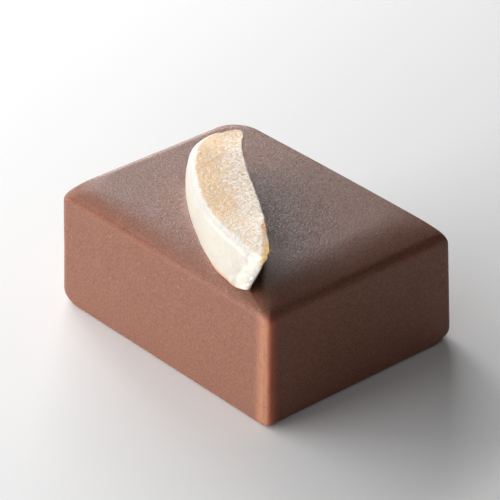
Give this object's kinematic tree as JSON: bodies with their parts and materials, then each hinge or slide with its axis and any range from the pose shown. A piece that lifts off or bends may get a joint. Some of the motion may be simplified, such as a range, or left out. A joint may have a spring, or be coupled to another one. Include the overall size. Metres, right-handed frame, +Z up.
{
  "type": "ganache chocolate",
  "caption": "Small rectangular filled chocolate with a smooth milk chocolate coating, soft shoulders and a piece of peeled almond on top.",
  "frame": {"origin": "middle of the flat base", "axes": "+X along the long side, +Y along the short side, +Z up through the top with the almond piece"},
  "size_m": [0.03, 0.0232, 0.0165],
  "materials": {
    "chocolate_coating": "satin milk chocolate coating",
    "almond": "matt peeled almond, lightly toasted on the flat face"
  },
  "bodies": {
    "root": {"chocolate": "chocolate_coating", "almond_piece": "almond"}
  },
  "joints": []
}
